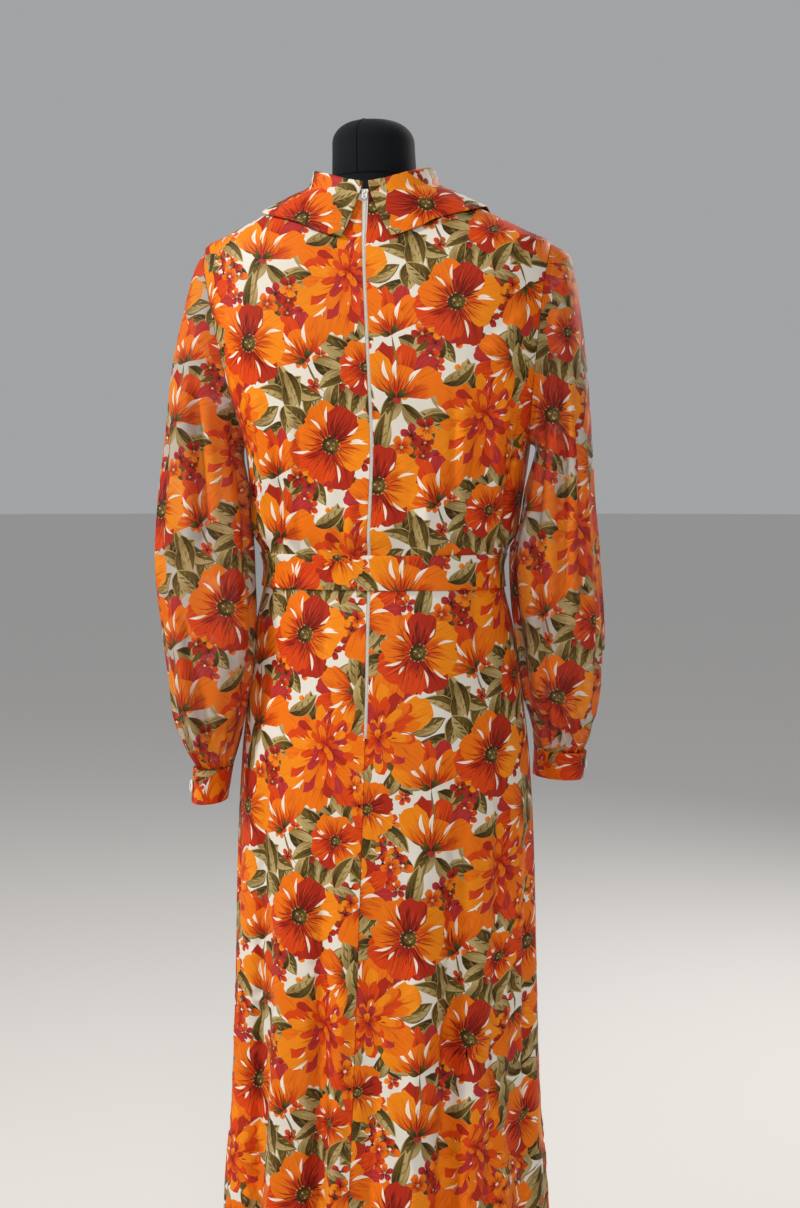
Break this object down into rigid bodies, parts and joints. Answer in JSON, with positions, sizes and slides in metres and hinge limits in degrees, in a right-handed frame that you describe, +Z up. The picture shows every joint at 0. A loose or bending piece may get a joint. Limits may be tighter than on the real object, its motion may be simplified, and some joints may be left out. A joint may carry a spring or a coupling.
{
  "type": "maxi dress on a dress form",
  "caption": "Floor-length, long-sleeved flower-print dress with a pointed collar, back zip and belt, on a plain black dress form with a stand.",
  "frame": {"origin": "centre of the underside of the stand's round base, on the floor", "axes": "+Z up along the pole; -Y out of the back of the dress, where the zip is; +X to the wearer's right"},
  "size_m": [0.5307, 0.35, 1.591],
  "materials": {
    "print_cloth": "satin",
    "sheer_cloth": "satin",
    "white_plastic": "gloss",
    "white_metal": "polished",
    "black_jersey": "matte",
    "dark_metal": "satin"
  },
  "bodies": {
    "dress_and_form": {"back_bodice_left": "print_cloth", "back_bodice_right": "print_cloth", "front_bodice": "print_cloth", "back_skirt_left": "print_cloth", "back_skirt_right": "print_cloth", "front_skirt": "print_cloth", "collar": "print_cloth", "belt": "print_cloth", "cuff_left": "print_cloth", "cuff_right": "print_cloth", "sleeve_left": "sheer_cloth", "sleeve_right": "sheer_cloth", "cuff_left_button_1": "white_plastic", "cuff_left_button_2": "white_plastic", "cuff_right_button_1": "white_plastic", "cuff_right_button_2": "white_plastic", "zip_chain": "white_plastic", "zip_slider": "white_metal", "form_torso": "black_jersey", "form_neck_cap": "black_jersey", "form_pole": "dark_metal", "form_base": "dark_metal"},
    "pull": {"zip_pull": "white_metal"}
  },
  "joints": [
    {"name": "pull_swing", "type": "hinge", "parent": "dress_and_form", "child": "pull", "pos_m": [-0.01152, -0.06869, 1.49794], "axis": [1, 0, 0], "range_deg": [-170, 0]}
  ]
}
